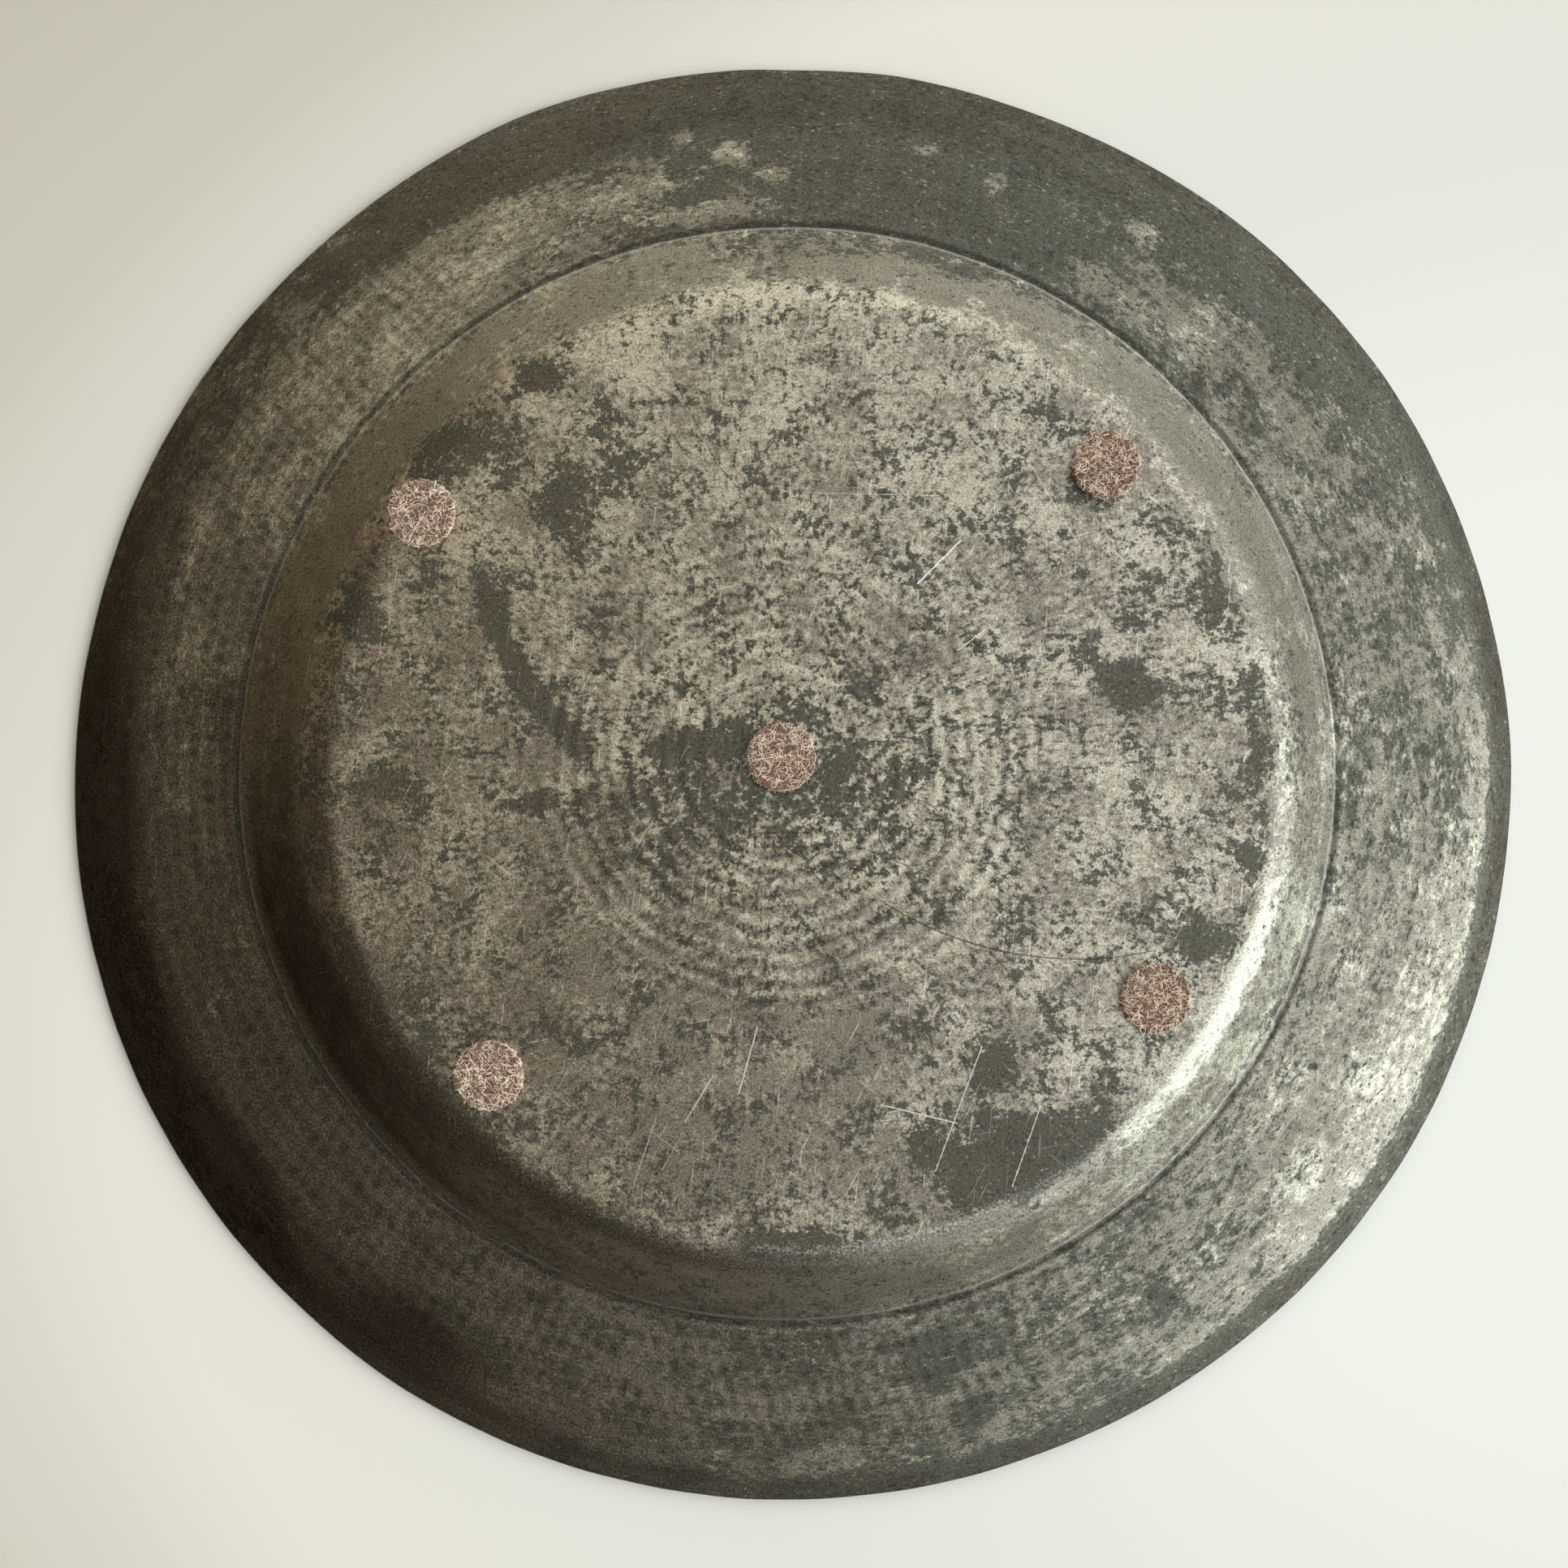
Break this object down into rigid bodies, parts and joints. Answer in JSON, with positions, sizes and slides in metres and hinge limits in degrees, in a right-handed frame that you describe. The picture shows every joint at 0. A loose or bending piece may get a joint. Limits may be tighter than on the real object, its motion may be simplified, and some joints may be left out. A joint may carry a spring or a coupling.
{
  "type": "paten plate",
  "caption": "Broad-rimmed hammered pewter dish used as a paten, stored face down, with round stick-on felt pads under its flat base.",
  "frame": {"origin": "centre of the ring on which the face-down rim rests, in the plane of that ring, so the dish lies face down on a surface at Z = 0", "axes": "+Z out of the underside, through the base towards the felt pads; +X to the right and +Y to the back, as set by the places of the pads. In use the dish is turned half a turn about X, and stands on its pads"},
  "size_m": [0.42, 0.42, 0.0287],
  "materials": {
    "pewter": null,
    "felt": "pressed wool-blend felt, dusty rose-brown with pale beige fibres",
    "adhesive": "translucent cream acrylic adhesive film"
  },
  "bodies": {
    "root": {"plate_body": "pewter", "felt_pad_centre": "felt", "felt_pad_right_back": "felt", "felt_pad_left_back": "felt", "felt_pad_left_front": "felt", "felt_pad_right_front": "felt", "adhesive_disc_centre": "adhesive", "adhesive_disc_right_back": "adhesive", "adhesive_disc_left_back": "adhesive", "adhesive_disc_left_front": "adhesive", "adhesive_disc_right_front": "adhesive"}
  },
  "joints": []
}
